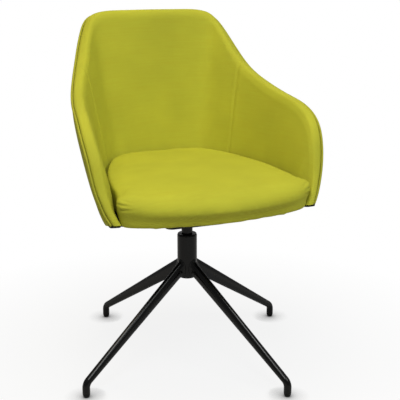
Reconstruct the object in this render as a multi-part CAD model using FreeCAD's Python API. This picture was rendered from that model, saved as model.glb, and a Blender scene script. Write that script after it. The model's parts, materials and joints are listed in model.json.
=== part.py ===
import FreeCAD, Part
import math
import os

from FreeCAD import Vector

# Conference chair: an upholstered tub seat that swivels freely on a base with four legs.
# Millimetres and degrees. Z points up from the floor, the sitter faces -Y, and the swivel axis
# stands at X = Y = 0. Left and right are the sitter's, so the right arm is at -X.

# Hub of the base
hub_diameter = 48.3
hub_wall = 4.15
hub_bottom = 210.0
hub_length = 106.0
hub_bottom_rounding = 3.5
hub_top_rounding = 1.0
hub_recess = 14.0
ledge_thickness = 10.0
ledge_clearance = 1.0
cap_flange = 2.5
cap_plug_length = 6.0
cap_plug_wall = 3.0
cap_clearance = 0.1

# Legs and glides
leg_count = 4
leg_turn = 24.6
foot_circle_radius = 325.0
leg_width = 17.5
leg_root_height = 36.0
leg_root_rise = 21.0
leg_foot_depth = 17.9
leg_wall = 2.5
knee_radius = 20.0
knee_z = 22.0
glide_height = 9.0
glide_contact_diameter = 12.0
glide_stem_clearance = 0.15

# Bushes, spindle and thrust bearing
bush_wall = 6.5
spindle_shoulder = 3.5
spindle_journal_tail = 4.0
spindle_thread_diameter = 16.0
spindle_thread_tail = 3.0
spindle_exposed = 40.0
bush_clearance = 0.05
upper_bush_length = 28.0
upper_bush_flange = 3.0
upper_bush_rounding = 1.2
bush_spacing = 18.0
lower_bush_gap = 0.6
bearing_side_clearance = 2.5
bearing_race = 2.75
bearing_bore_gap = 0.5
ball_side_margin = 1.0
ball_groove_depth = 0.75
ball_clearance = 0.05
cage_thickness = 2.0
cage_side_gap = 0.25
cage_pocket_clearance = 0.2
cage_web = 1.1
retaining_washer_clearance = 3.0
retaining_washer_thickness = 2.0
retaining_play = 0.3
retaining_ring_thickness = 1.2
retaining_ring_width = 3.0
retaining_groove_depth = 0.5
retaining_ring_opening = 5.0

# Seat pan and its fasteners
pan_half_width = 75.0
pan_corner_radius = 16.0
pan_sheet = 3.0
pan_depth = 42.0
pan_flange_width = 23.0
stiffener_half_width = 45.0
stiffener_corner_radius = 8.0
stiffener_thickness = 5.0
nut_washer_diameter = 30.0
nut_washer_thickness = 3.0
nut_across_flats = 24.0
nut_height = 13.0
bolt_diameter = 8.0
bolt_offset = 13.0
bolt_head_across_flats = 13.0
bolt_head_height = 5.3
bolt_hole_clearance = 0.5
bolt_washer_diameter = 16.0
bolt_washer_thickness = 1.6
tee_nut_barrel_diameter = 10.0
tee_nut_flange_diameter = 22.0
tee_nut_flange = 1.5
tee_nut_gap = 2.5
fit_clearance = 0.1

# Seat board
board_thickness = 14.0
board_front = 200.0
board_front_corner_x = 188.0
board_front_corner_y = -152.0
board_edge_clearance = 0.6
board_end_index = 12

# Wrap-around wall: the line of its piping and the foot below it, from the middle of the back
# to the tip of one arm. Each point is rim x, rim y, rim height over the board, foot x, foot y.
wall_points = (
    (0.0, 279.0, 427.0, 0.0, 228.0),
    (80.0, 278.0, 426.5, 56.0, 225.0),
    (134.0, 275.0, 424.0, 92.0, 216.0),
    (163.0, 268.0, 416.0, 110.0, 208.0),
    (192.0, 240.0, 380.0, 133.0, 191.0),
    (217.0, 194.0, 322.0, 157.0, 163.0),
    (232.0, 159.0, 289.0, 174.0, 134.0),
    (252.0, 95.0, 258.0, 196.0, 90.0),
    (270.0, 11.0, 235.0, 216.0, 22.0),
    (281.0, -73.0, 216.0, 229.5, -42.0),
    (284.0, -123.0, 187.0, 235.0, -85.0),
    (279.0, -156.0, 139.0, 238.5, -114.0),
    (268.0, -176.0, 74.0, 241.0, -138.0),
    (262.0, -182.5, 54.0, 241.5, -145.0),
    (256.0, -188.0, 36.0, 242.0, -151.0),
    (249.5, -193.5, 21.0, 242.5, -156.5),
    (243.0, -198.0, 8.0, 243.0, -161.0),
)
wall_spans = 72
seam_index = 6
seam_lean = 3.0
seam_cut_margin = 18.0
cover_thickness = 5.0
core_thickness = 8.0
wall_foot_thickness = 23.0
wall_middle_thickness = 35.0
wall_rim_thickness = 32.0
wall_tip_thickness = 17.0
wall_taper_length = 150.0
wall_bulge = 15.0
rim_drop = 6.0
rim_fold = 14.0
rim_crown = 5.0
core_full_height = 68.0
core_end_index = 14
piping_diameter = 5.0
piping_lift = 0.6
path_corner_share = 0.45
layer_gap = 0.3

# Screws that hold the shell core to the edge of the board
screw_index_list = (2, 4, 7, 9)
screw_diameter = 4.0
screw_head_diameter = 8.0
screw_head_height = 2.6
screw_head_seat = 2.5
screw_bite = 22.0

# Seat cushion
cushion_front = 262.0
cushion_front_turn_x = 218.0
cushion_front_turn_y = -197.0
cushion_front_corner_x = 205.0
cushion_front_corner_y = -213.0
cushion_side_clearance = 2.8
cushion_tip_clearance = 6.0
cushion_wall_index_list = (0, 2, 4, 6, 8, 11)
cushion_tip_index = 13
cushion_widest_height = 28.0
cushion_middle_y = -25.0
cushion_rake = 2.0
cushion_height = 84.0
cushion_base_share = 0.95
cushion_squareness = 4.5
# Steps of the cushion's sides below and above its widest outline, in degrees of a quarter turn
cushion_lower_steps = (90.0, 50.0)
cushion_upper_steps = (0.0, 14.0, 28.0, 42.0, 56.0, 67.0, 76.0)

# Closeness at which two sizes count as the same
same_size = 1e-6

# Heights and sizes that follow from the ones above
hub_radius = hub_diameter / 2
hub_bore = hub_diameter - 2 * hub_wall
spindle_diameter = hub_bore - 2 * bush_wall
hub_top = hub_bottom + hub_length
leg_root_z = hub_bottom + leg_root_rise
foot_radius = min(leg_width, leg_foot_depth) / 2
ledge_bottom = hub_bottom + hub_recess
ledge_top = ledge_bottom + ledge_thickness
spindle_journal_diameter = spindle_diameter - 2 * spindle_shoulder
ledge_hole = spindle_journal_diameter + 2 * ledge_clearance
bearing_diameter = hub_bore - 2 * bearing_side_clearance
race_width = (bearing_diameter - spindle_journal_diameter) / 2
ball_diameter = race_width - 2 * ball_side_margin
ball_radius = ball_diameter / 2
ball_z = ledge_top + bearing_race - ball_groove_depth + ball_radius
upper_race_bottom = ball_z + ball_radius - ball_groove_depth
bearing_top = upper_race_bottom + bearing_race
ball_circle_radius = (spindle_journal_diameter + race_width) / 2
cage_pocket = ball_diameter + 2 * cage_pocket_clearance
ball_count = int(2 * math.pi * ball_circle_radius / (cage_pocket + cage_web))
lower_bush_bottom = bearing_top + lower_bush_gap
lower_bush_top = hub_top - upper_bush_length - bush_spacing
retaining_washer_diameter = hub_bore - 2 * retaining_washer_clearance
retaining_washer_top = ledge_bottom - retaining_play
retaining_ring_top = retaining_washer_top - retaining_washer_thickness
retaining_ring_bottom = retaining_ring_top - retaining_ring_thickness
pan_bottom = hub_top + spindle_exposed
stiffener_bottom = pan_bottom + pan_sheet
nut_washer_bottom = stiffener_bottom + stiffener_thickness
nut_bottom = nut_washer_bottom + nut_washer_thickness
thread_top = nut_bottom + nut_height + spindle_thread_tail
board_bottom = pan_bottom + pan_depth
board_top = board_bottom + board_thickness
tee_nut_bottom = board_bottom + tee_nut_gap
flange_bottom = board_bottom - pan_sheet
piping_radius = piping_diameter / 2
core_outer = cover_thickness + layer_gap
core_inner = core_outer + core_thickness
back_length = wall_points[0][2]


def cylinder(diameter, bottom, top, x=0.0, y=0.0):
    """Upright cylinder between two heights."""
    return Part.makeCylinder(diameter / 2, top - bottom, Vector(x, y, bottom))


def ring(outside, inside, bottom, top, x=0.0, y=0.0):
    """Upright ring between two heights, from its two diameters."""
    return cylinder(outside, bottom, top, x, y).cut(cylinder(inside, bottom, top, x, y))


def rounded_square(half_width, corner, bottom, top):
    """Upright prism on a square with round corners, centred on the swivel axis."""
    side = 2 * half_width
    block = Part.makeBox(side, side, top - bottom, Vector(-half_width, -half_width, bottom))
    upright = [edge for edge in block.Edges if abs(edge.tangentAt(edge.FirstParameter).z) > 0.5]
    return block.makeFillet(corner, upright)


def hexagon(across_flats, bottom, top, x=0.0, y=0.0):
    """Upright hexagonal prism."""
    reach = across_flats / math.sqrt(3)
    angles = [math.radians(60 * k) for k in range(7)]
    corners = [Vector(x + reach * math.cos(a), y + reach * math.sin(a), bottom) for a in angles]
    return Part.Face(Part.makePolygon(corners)).extrude(Vector(0, 0, top - bottom))


def line(start, end):
    """Straight edge."""
    return Part.makeLine(start, end)


def arc(start, through, end):
    """Round edge through three points."""
    return Part.Arc(start, through, end).toShape()


def circle_edges(solid, height, radius):
    """Round edges of a solid at a height and radius about the swivel axis."""
    found = []
    for edge in solid.Edges:
        if isinstance(edge.Curve, Part.Circle) and abs(edge.Curve.Radius - radius) < same_size:
            if abs(edge.Curve.Center.z - height) < same_size:
                found.append(edge)
    return found


# Base

def make_hub():
    """Hub tube with the inner ledge that carries the thrust bearing."""
    tube = cylinder(hub_diameter, hub_bottom, hub_top)
    tube = tube.cut(cylinder(hub_bore, ledge_top, hub_top))
    tube = tube.cut(cylinder(ledge_hole, ledge_bottom, ledge_top))
    tube = tube.cut(cylinder(hub_bore, hub_bottom, ledge_bottom))
    tube = tube.makeFillet(hub_bottom_rounding, circle_edges(tube, hub_bottom, hub_radius))
    return tube.makeFillet(hub_top_rounding, circle_edges(tube, hub_top, hub_radius))


def make_hub_cap():
    """Cap with a hollow plug that closes the hub's lower end."""
    flange = cylinder(hub_diameter - 2 * hub_bottom_rounding, hub_bottom - cap_flange, hub_bottom)
    plug_diameter = hub_bore - 2 * cap_clearance
    plug = ring(plug_diameter, plug_diameter - 2 * cap_plug_wall, hub_bottom, hub_bottom + cap_plug_length)
    return flange.fuse(plug).removeSplitter()


def leg_form(inset):
    """One leg along +X, drawn in by an inset on every side: a tapered run, a knee and a foot."""
    centre = Vector(foot_circle_radius - knee_radius, 0, knee_z)
    run = centre.x - hub_radius
    drop = leg_root_z - knee_z
    slope = math.atan2(drop, run) - math.asin(knee_radius / math.hypot(run, drop))
    along = Vector(math.cos(slope), 0, -math.sin(slope))
    across = Vector(math.sin(slope), 0, math.cos(slope))
    knee_start = centre + across * knee_radius
    root = Vector(hub_radius, 0, leg_root_z) - along * hub_radius

    def oval(middle, height):
        major = middle + across * (height / 2 - inset)
        minor = middle + Vector(0, leg_width / 2 - inset, 0)
        return Part.Wire(Part.Ellipse(major, minor, middle).toShape())

    knee_oval = oval(knee_start, leg_foot_depth)
    tapered = Part.makeLoft([oval(root, leg_root_height), knee_oval], True, True)
    turn = 90 - math.degrees(slope)
    knee = Part.Face(knee_oval).revolve(centre, Vector(0, 1, 0), turn)
    foot_top = Vector(foot_circle_radius, 0, knee_z)
    foot_major = foot_top + Vector(leg_foot_depth / 2 - inset, 0, 0)
    foot_minor = foot_top + Vector(0, leg_width / 2 - inset, 0)
    foot_oval = Part.Wire(Part.Ellipse(foot_major, foot_minor, foot_top).toShape())
    foot = Part.Face(foot_oval).extrude(Vector(0, 0, glide_height - knee_z))
    return tapered.fuse([knee, foot])


def make_leg():
    """Hollow leg along +X that ends on the outside of the hub."""
    leg = leg_form(0.0).cut(leg_form(leg_wall))
    reach = leg_root_z + leg_root_height
    return leg.cut(cylinder(hub_diameter, 0, reach))


def make_glide():
    """Glide along +X: a rounded foot with a stem that plugs into the leg."""
    contact = glide_contact_diameter / 2
    stem = foot_radius - leg_wall - glide_stem_clearance
    spread = foot_radius - contact
    bend = (spread * spread + glide_height * glide_height) / (2 * spread)
    half_turn = math.atan2(glide_height, bend - spread) / 2
    middle = Vector(foot_radius - bend, 0, glide_height)
    through = middle + Vector(bend * math.cos(half_turn), 0, -bend * math.sin(half_turn))
    floor = Vector(0, 0, 0)
    floor_edge = Vector(contact, 0, 0)
    rim = Vector(foot_radius, 0, glide_height)
    stem_foot = Vector(stem, 0, glide_height)
    stem_edge = Vector(stem, 0, knee_z)
    stem_top = Vector(0, 0, knee_z)
    edges = [
        line(floor, floor_edge),
        arc(floor_edge, through, rim),
        line(rim, stem_foot),
        line(stem_foot, stem_edge),
        line(stem_edge, stem_top),
        line(stem_top, floor),
    ]
    glide = Part.Face(Part.Wire(edges)).revolve(Vector(0, 0, 0), Vector(0, 0, 1), 360)
    return glide.translated(Vector(foot_circle_radius, 0, 0))


def turned_to_leg(shape, index):
    """A leg's piece turned from +X to its place round the hub."""
    angle = leg_turn + index * 360 / leg_count
    return shape.rotated(Vector(0, 0, 0), Vector(0, 0, 1), angle)


# Swivel

def make_upper_bush():
    """Flanged bush in the hub's upper end."""
    bore = spindle_diameter + 2 * bush_clearance
    body = ring(hub_bore, bore, hub_top - upper_bush_length, hub_top)
    flange_top = hub_top + upper_bush_flange
    flange = ring(hub_diameter - 2 * hub_top_rounding, bore, hub_top, flange_top)
    bush = body.fuse(flange).removeSplitter()
    edges = circle_edges(bush, flange_top, hub_radius - hub_top_rounding)
    return bush.makeFillet(upper_bush_rounding, edges)


def make_lower_bush():
    """Plain bush above the thrust bearing."""
    return ring(hub_bore, spindle_diameter + 2 * bush_clearance, lower_bush_bottom, lower_bush_top)


def make_lower_race():
    """Race that lies on the hub's ledge."""
    bore = spindle_journal_diameter + 2 * bearing_bore_gap
    race = ring(bearing_diameter, bore, ledge_top, ledge_top + bearing_race)
    return race.cut(groove())


def make_upper_race():
    """Race that carries the spindle's shoulder."""
    outside = bearing_diameter - 2 * bearing_bore_gap
    race = ring(outside, spindle_journal_diameter, upper_race_bottom, bearing_top)
    return race.cut(groove())


def groove():
    """Ring-shaped space in which the balls roll."""
    return Part.makeTorus(ball_circle_radius, ball_radius + ball_clearance, Vector(0, 0, ball_z))


def ball_places():
    """Middles of the balls round the bearing."""
    first = Vector(ball_circle_radius, 0, ball_z)
    axis = Vector(0, 0, 1)
    turns = [FreeCAD.Rotation(axis, 360 * k / ball_count) for k in range(ball_count)]
    return [turn.multVec(first) for turn in turns]


def make_balls():
    """Balls of the thrust bearing."""
    return Part.makeCompound([Part.makeSphere(ball_radius, place) for place in ball_places()])


def make_cage():
    """Cage that spaces the balls."""
    bottom = ball_z - cage_thickness / 2
    top = ball_z + cage_thickness / 2
    outside = bearing_diameter - 2 * cage_side_gap
    cage = ring(outside, spindle_journal_diameter + 2 * cage_side_gap, bottom, top)
    return cage.cut([cylinder(cage_pocket, bottom, top, place.x, place.y) for place in ball_places()])


def make_spindle():
    """Spindle: journal in the bearing, column in the bushes and threaded end in the seat pan."""
    column = cylinder(spindle_diameter, bearing_top, pan_bottom)
    journal = cylinder(spindle_journal_diameter, retaining_ring_bottom - spindle_journal_tail, bearing_top)
    thread = cylinder(spindle_thread_diameter, pan_bottom, thread_top)
    groove_diameter = spindle_journal_diameter - 2 * retaining_groove_depth
    slot = ring(2 * spindle_journal_diameter, groove_diameter, retaining_ring_bottom, retaining_ring_top)
    return column.fuse([journal, thread]).removeSplitter().cut(slot)


def make_retaining_washer():
    """Washer that stops against the underside of the ledge when the seat is lifted."""
    bottom = retaining_ring_top
    hole = spindle_journal_diameter + 2 * fit_clearance
    return ring(retaining_washer_diameter, hole, bottom, retaining_washer_top)


def make_retaining_ring():
    """Open ring in the spindle's groove."""
    inside = spindle_journal_diameter - 2 * retaining_groove_depth
    outside = inside + 2 * retaining_ring_width
    closed = ring(outside, inside, retaining_ring_bottom, retaining_ring_top)
    opening = Part.makeBox(
        outside,
        retaining_ring_opening,
        retaining_ring_thickness,
        Vector(0, -retaining_ring_opening / 2, retaining_ring_bottom),
    )
    return closed.cut(opening)


# Seat pan

def bolt_places():
    """Plan positions of the bolts that hold the pan to the board."""
    reach = pan_half_width + bolt_offset
    return [(sx * reach, sy * reach) for sx in (-1, 1) for sy in (-1, 1)]


def make_pan():
    """Pressed steel dish with a flange under the board."""
    outside = rounded_square(pan_half_width, pan_corner_radius, pan_bottom, board_bottom)
    inner_half = pan_half_width - pan_sheet
    inside = rounded_square(inner_half, pan_corner_radius - pan_sheet, stiffener_bottom, board_bottom)
    rim = pan_half_width + pan_flange_width
    flange = rounded_square(rim, pan_corner_radius, flange_bottom, board_bottom)
    pan = outside.fuse(flange).removeSplitter().cut(inside)
    hole = bolt_diameter + 2 * bolt_hole_clearance
    holes = [cylinder(hole, flange_bottom, board_bottom, x, y) for x, y in bolt_places()]
    thread_hole = cylinder(spindle_thread_diameter + 2 * fit_clearance, pan_bottom, stiffener_bottom)
    return pan.cut(holes + [thread_hole])


def make_stiffener():
    """Plate that spreads the spindle's load over the pan's floor."""
    bottom = stiffener_bottom
    top = nut_washer_bottom
    plate = rounded_square(stiffener_half_width, stiffener_corner_radius, bottom, top)
    return plate.cut(cylinder(spindle_thread_diameter + 2 * fit_clearance, bottom, top))


def make_spindle_nut():
    """Nut on the spindle's threaded end."""
    nut = hexagon(nut_across_flats, nut_bottom, nut_bottom + nut_height)
    return nut.cut(cylinder(spindle_thread_diameter, nut_bottom, nut_bottom + nut_height))


def make_bolt(x, y):
    """One bolt, head down."""
    head_top = flange_bottom - bolt_washer_thickness
    head = hexagon(bolt_head_across_flats, head_top - bolt_head_height, head_top, x, y)
    shank = cylinder(bolt_diameter, head_top, board_top - tee_nut_flange, x, y)
    return head.fuse(shank).removeSplitter()


def make_bolt_washer(x, y):
    """Washer between a bolt's head and the pan's flange."""
    hole = bolt_diameter + 2 * fit_clearance
    return ring(bolt_washer_diameter, hole, flange_bottom - bolt_washer_thickness, flange_bottom, x, y)


def make_tee_nut(x, y):
    """Tee nut let into the top of the board."""
    barrel = cylinder(tee_nut_barrel_diameter, tee_nut_bottom, board_top, x, y)
    flange = cylinder(tee_nut_flange_diameter, board_top - tee_nut_flange, board_top, x, y)
    bore = cylinder(bolt_diameter + 2 * bush_clearance, tee_nut_bottom, board_top, x, y)
    return barrel.fuse(flange).removeSplitter().cut(bore)


# Wrap-around wall

class Station:
    """One section through the wall: a foot on the board, a rim under the piping and a way inwards."""

    def __init__(self, foot, rim, inward, rim_heading):
        self.foot = foot
        self.inward = inward
        self.over_rim = inward.cross(rim_heading).normalize()
        chord = rim - foot
        across = chord - inward * chord.dot(inward)
        self.up = Vector(across).normalize()
        self.rim = rim - self.up * rim_drop
        self.length = (self.rim - foot).Length
        self.bulge = wall_bulge * (self.length / back_length) ** 3
        grown = min(1.0, self.length / wall_taper_length)
        self.rim_thickness = wall_tip_thickness + (wall_rim_thickness - wall_tip_thickness) * grown
        self.middle_thickness = wall_foot_thickness + (wall_middle_thickness - wall_foot_thickness) * grown

    def at(self, share, depth):
        """Point at a share of the way from foot to rim, a depth in from the outer face."""
        bulge = 4 * self.bulge * max(share, 0.0) * (1 - share)
        return self.foot + (self.rim - self.foot) * share + self.inward * (depth - bulge)

    def share_at(self, height):
        """Share of the way from foot to rim at a height over the board."""
        return height / (self.rim.z - self.foot.z)

    def inner_depth(self, share):
        """Depth of the inner face, on a parabola through foot, middle and rim."""
        foot = wall_foot_thickness
        bend = 2 * (foot + self.rim_thickness - 2 * self.middle_thickness)
        climb = self.rim_thickness - foot - bend
        return foot + climb * share + bend * share * share


class Wall:
    """Smooth rim and foot lines of the wall, from the right arm's tip (-1) to the left arm's (1)."""

    def __init__(self):
        half_rim = [Vector(rx, ry, board_top + rz) for rx, ry, rz, fx, fy in wall_points]
        half_foot = [Vector(fx, fy, board_top) for rx, ry, rz, fx, fy in wall_points]
        rim = [Vector(-p.x, p.y, p.z) for p in half_rim[:0:-1]] + half_rim
        foot = [Vector(-p.x, p.y, p.z) for p in half_foot[:0:-1]] + half_foot
        lengths = [0.0]
        for before, after in zip(half_rim, half_rim[1:]):
            lengths.append(lengths[-1] + (after - before).Length)
        self.shares = [length / lengths[-1] for length in lengths]
        parameters = [-share for share in self.shares[:0:-1]] + self.shares
        self.rim = Part.BSplineCurve()
        self.rim.interpolate(Points=rim, Parameters=parameters)
        self.foot = Part.BSplineCurve()
        self.foot.interpolate(Points=foot, Parameters=parameters)
        self.height = half_rim[0].z - half_foot[0].z

    def station(self, share):
        """Section at a share of the way from the middle of the back to an arm's tip."""
        along = self.foot.tangent(share)[0]
        inward = Vector(along.y, -along.x, 0).normalize()
        return Station(self.foot.value(share), self.rim.value(share), inward, self.rim.tangent(share)[0])

    def stations(self, reach=1.0):
        """Evenly spaced sections, as far as a share of the way to each tip."""
        shares = [2 * k / wall_spans - 1 for k in range(wall_spans + 1)]
        return [self.station(share) for share in shares if abs(share) <= reach]

    def point_station(self, index, side=1):
        """Section at one of the wall's points, on the left side (1) or the right (-1)."""
        return self.station(side * self.shares[index])


def rise(station, depth, low, high):
    """Edge up one face of the wall between two shares."""
    middle = (low + high) / 2
    return arc(station.at(low, depth), station.at(middle, depth), station.at(high, depth))


def cover_section(station):
    """Outer cover: a layer on the outside of the wall."""
    outer = rise(station, 0.0, 0.0, 1.0)
    inner = rise(station, cover_thickness, 1.0, 0.0)
    top = line(station.at(1.0, 0.0), station.at(1.0, cover_thickness))
    foot = line(station.at(0.0, cover_thickness), station.at(0.0, 0.0))
    return Part.Wire([outer, top, inner, foot])


def core_section(station):
    """Shell core: a plate inside the wall that reaches down over the edge of the board."""
    low = -board_thickness / max(station.rim.z - station.foot.z, core_full_height)
    high = 1.0 - rim_fold / station.length
    points = []
    for depth in (core_outer, core_inner):
        points.append((station.at(low, depth), station.at(0.0, depth), station.at(high, depth)))
    outer, inner = points
    edges = [
        line(outer[0], outer[1]),
        rise(station, core_outer, 0.0, high),
        line(outer[2], inner[2]),
        rise(station, core_inner, high, 0.0),
        line(inner[1], inner[0]),
        line(inner[0], outer[0]),
    ]
    return Part.Wire(edges)


def pad_section(station):
    """Inner pad: foam and fabric on the inside of the wall, folded over the rim to the piping."""
    back = core_inner + layer_gap
    cap = 1.0 - (rim_fold - layer_gap) / station.length
    shoulder = station.at(1.0, core_outer) + station.up * piping_diameter
    rim_inner = station.at(1.0, station.rim_thickness)
    crown = (shoulder + rim_inner) * 0.5 + station.up * rim_crown
    foot_inner = station.at(0.0, wall_foot_thickness)
    edges = [
        rise(station, back, 0.0, cap),
        line(station.at(cap, back), station.at(cap, core_outer)),
        line(station.at(cap, core_outer), shoulder),
        arc(shoulder, crown, rim_inner),
        arc(rim_inner, station.at(0.5, station.middle_thickness), foot_inner),
        line(foot_inner, station.at(0.0, back)),
    ]
    return Part.Wire(edges)


def piping_centre(station):
    """Middle of the piping, on the upper edge of the outer cover."""
    return station.at(1.0, cover_thickness / 2) + station.over_rim * (piping_radius + piping_lift)


def rounded_path(points):
    """Path of straight runs along points, with a tangent arc at every point between its ends."""
    edges = []
    start = points[0]
    for before, corner, after in zip(points, points[1:], points[2:]):
        reach = path_corner_share * min((corner - before).Length, (after - corner).Length)
        first = corner + (before - corner).normalize() * reach
        second = corner + (after - corner).normalize() * reach
        half_turn = (corner - before).getAngle(after - corner) / 2
        to_middle = ((first + second) * 0.5 - corner).normalize()
        radius = reach / math.tan(half_turn)
        through = corner + to_middle * (radius / math.cos(half_turn) - radius)
        edges.append(line(start, first))
        edges.append(arc(first, through, second))
        start = second
    edges.append(line(start, points[-1]))
    return Part.Wire(edges)


def make_piping(wall):
    """Round cord that follows the rim from one arm's tip to the other's."""
    path = rounded_path([piping_centre(station) for station in wall.stations()])
    start = path.Edges[0]
    heading = start.tangentAt(start.FirstParameter)
    middle = start.valueAt(start.FirstParameter)
    profile = Part.Wire(Part.makeCircle(piping_radius - layer_gap, middle, heading))
    return path.makePipeShell([profile], True, False)


def wall_loft(section, stations):
    """Solid through one kind of section along the wall, straight from each section to the next."""
    return Part.makeLoft([section(station) for station in stations], True, True)


def seam_cutter(wall):
    """Upright block that holds the left arm's share of the wall, as far as its seam."""
    seam = wall.point_station(seam_index)
    reach = wall.height
    outside = seam.foot - seam.inward * reach
    inside = seam.foot + seam.inward * (wall_middle_thickness + seam_cut_margin)
    front = Vector(inside.x, -reach, 0)
    corners = [outside, inside, front, Vector(outside.x, -reach, 0)]
    corners = [Vector(c.x, c.y, board_bottom) for c in corners]
    face = Part.Face(Part.makePolygon(corners + corners[:1]))
    rearward = Vector(seam.inward.y, -seam.inward.x, 0) * math.tan(math.radians(seam_lean))
    return face.extrude((Vector(0, 0, 1) + rearward) * (2 * reach))


def mirrored(shape):
    """The same piece on the other side of the chair."""
    return shape.mirror(Vector(0, 0, 0), Vector(1, 0, 0))


def split_at_seams(layer, cutter):
    """Back, left arm and right arm of one layer of the wall."""
    left = layer.common(cutter)
    right = mirrored(left)
    back = layer.cut([cutter, mirrored(cutter)])
    return back, left, right


def screw_stands(wall):
    """Sections with a screw: one at the middle of the back and the rest in pairs."""
    pairs = [wall.point_station(k, side) for k in screw_index_list for side in (-1, 1)]
    return [wall.station(0.0)] + pairs


def along_inward(station, diameter, start, end):
    """Level cylinder across the shell core's lower edge, between two depths."""
    share = station.share_at(-board_thickness / 2)
    first = station.at(share, start)
    return Part.makeCylinder(diameter / 2, end - start, first, station.inward)


def screw_end():
    """Depth of a screw's point in from the wall's outer face."""
    return core_inner + screw_bite


def make_screw(station):
    """One screw through the shell core into the edge of the board."""
    seat = core_outer + screw_head_seat
    head = along_inward(station, screw_head_diameter, seat - screw_head_height, seat)
    shank = along_inward(station, screw_diameter, seat, screw_end())
    return head.fuse(shank).removeSplitter()


def make_core(wall):
    """Shell core with its screw holes."""
    core = wall_loft(core_section, wall.stations(wall.shares[core_end_index]))
    cuts = []
    for station in screw_stands(wall):
        seat = core_outer + screw_head_seat
        pocket = screw_head_diameter + 2 * fit_clearance
        cuts.append(along_inward(station, pocket, -core_thickness, seat))
        hole = screw_diameter + 2 * fit_clearance
        cuts.append(along_inward(station, hole, seat, core_inner + core_thickness))
    return core.cut(cuts)


# Seat board

def board_outline(wall, height):
    """Closed outline of the board at a height over its top, inside the shell core."""
    depth = core_inner + board_edge_clearance
    sections = wall.stations(wall.shares[board_end_index])
    points = [station.at(station.share_at(height), depth) for station in sections]
    curve = Part.BSplineCurve()
    curve.interpolate(points)
    z = board_top + height
    left = Vector(board_front_corner_x, board_front_corner_y, z)
    right = Vector(-board_front_corner_x, board_front_corner_y, z)
    edges = [
        curve.toShape(),
        line(points[-1], left),
        arc(left, Vector(0, -board_front, z), right),
        line(right, points[0]),
    ]
    return Part.Wire(edges)


def make_board(wall):
    """Seat board with its tee nut seats and screw holes."""
    outlines = [board_outline(wall, height) for height in (-board_thickness, 0.0)]
    board = Part.makeLoft(outlines, True, True)
    cuts = []
    for x, y in bolt_places():
        cuts.append(cylinder(tee_nut_barrel_diameter + 2 * fit_clearance, board_bottom, board_top, x, y))
        seat = tee_nut_flange_diameter + 2 * fit_clearance
        cuts.append(cylinder(seat, board_top - tee_nut_flange, board_top, x, y))
    for station in screw_stands(wall):
        hole = screw_diameter + 2 * fit_clearance
        cuts.append(along_inward(station, hole, core_outer, screw_end() + fit_clearance))
    return board.cut(cuts)


# Seat cushion

def cushion_point(wall, index, clearance):
    """Plan point of the cushion's widest outline beside one of the wall's points."""
    station = wall.point_station(index)
    share = station.share_at(cushion_widest_height)
    point = station.at(share, station.inner_depth(share) + clearance)
    return Vector(point.x, point.y, 0)


def cushion_corners(wall):
    """Plan points of the cushion's widest outline along one side, from the rear to the arm's tip."""
    points = [cushion_point(wall, index, cushion_side_clearance) for index in cushion_wall_index_list]
    return points + [cushion_point(wall, cushion_tip_index, cushion_tip_clearance)]


def cushion_levels():
    """Levels of the cushion: height over the board, share of the widest outline, share of the rake."""
    levels = []
    for step in cushion_lower_steps:
        drop = (cushion_widest_height - layer_gap) * math.sin(math.radians(step))
        drawn_in = (1 - cushion_base_share) * (1 - math.cos(math.radians(step)))
        levels.append((cushion_widest_height - drop, 1 - drawn_in, 0.0))
    power = 2 / cushion_squareness
    crown = cushion_height - cushion_widest_height
    for step in cushion_upper_steps:
        lift = math.sin(math.radians(step)) ** power
        share = math.cos(math.radians(step)) ** power
        levels.append((cushion_widest_height + crown * lift, share, lift))
    return levels


def cushion_outline(corners, height, share, rake):
    """Closed outline of the cushion at one level: arcs at the rear, corners, sides and front."""
    rear, rear_end, corner, side_start, side, side_end, front_side = corners
    front = Vector(0, -cushion_front, 0)
    front_corner = Vector(cushion_front_corner_x, cushion_front_corner_y, 0)
    turn = Vector(cushion_front_turn_x, cushion_front_turn_y, 0)

    def place(point, flip=1.0):
        x = flip * point.x * share
        y = cushion_middle_y + (point.y - cushion_middle_y) * share
        lean = math.tan(math.radians(cushion_rake)) * rake * (y - cushion_middle_y)
        return Vector(x, y, board_top + height + lean)

    edges = [
        arc(place(rear_end, -1), place(rear), place(rear_end)),
        arc(place(rear_end), place(corner), place(side_start)),
        arc(place(side_start), place(side), place(side_end)),
        line(place(side_end), place(front_side)),
        arc(place(front_side), place(turn), place(front_corner)),
        arc(place(front_corner), place(front), place(front_corner, -1)),
        arc(place(front_corner, -1), place(turn, -1), place(front_side, -1)),
        line(place(front_side, -1), place(side_end, -1)),
        arc(place(side_end, -1), place(side, -1), place(side_start, -1)),
        arc(place(side_start, -1), place(corner, -1), place(rear_end, -1)),
    ]
    return Part.Wire(edges)


def make_cushion(wall):
    """Cushion with drawn-in sides, a crowned top and a rolled front."""
    corners = cushion_corners(wall)
    outlines = [cushion_outline(corners, *level) for level in cushion_levels()]
    return Part.makeLoft(outlines, True, False)


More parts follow.
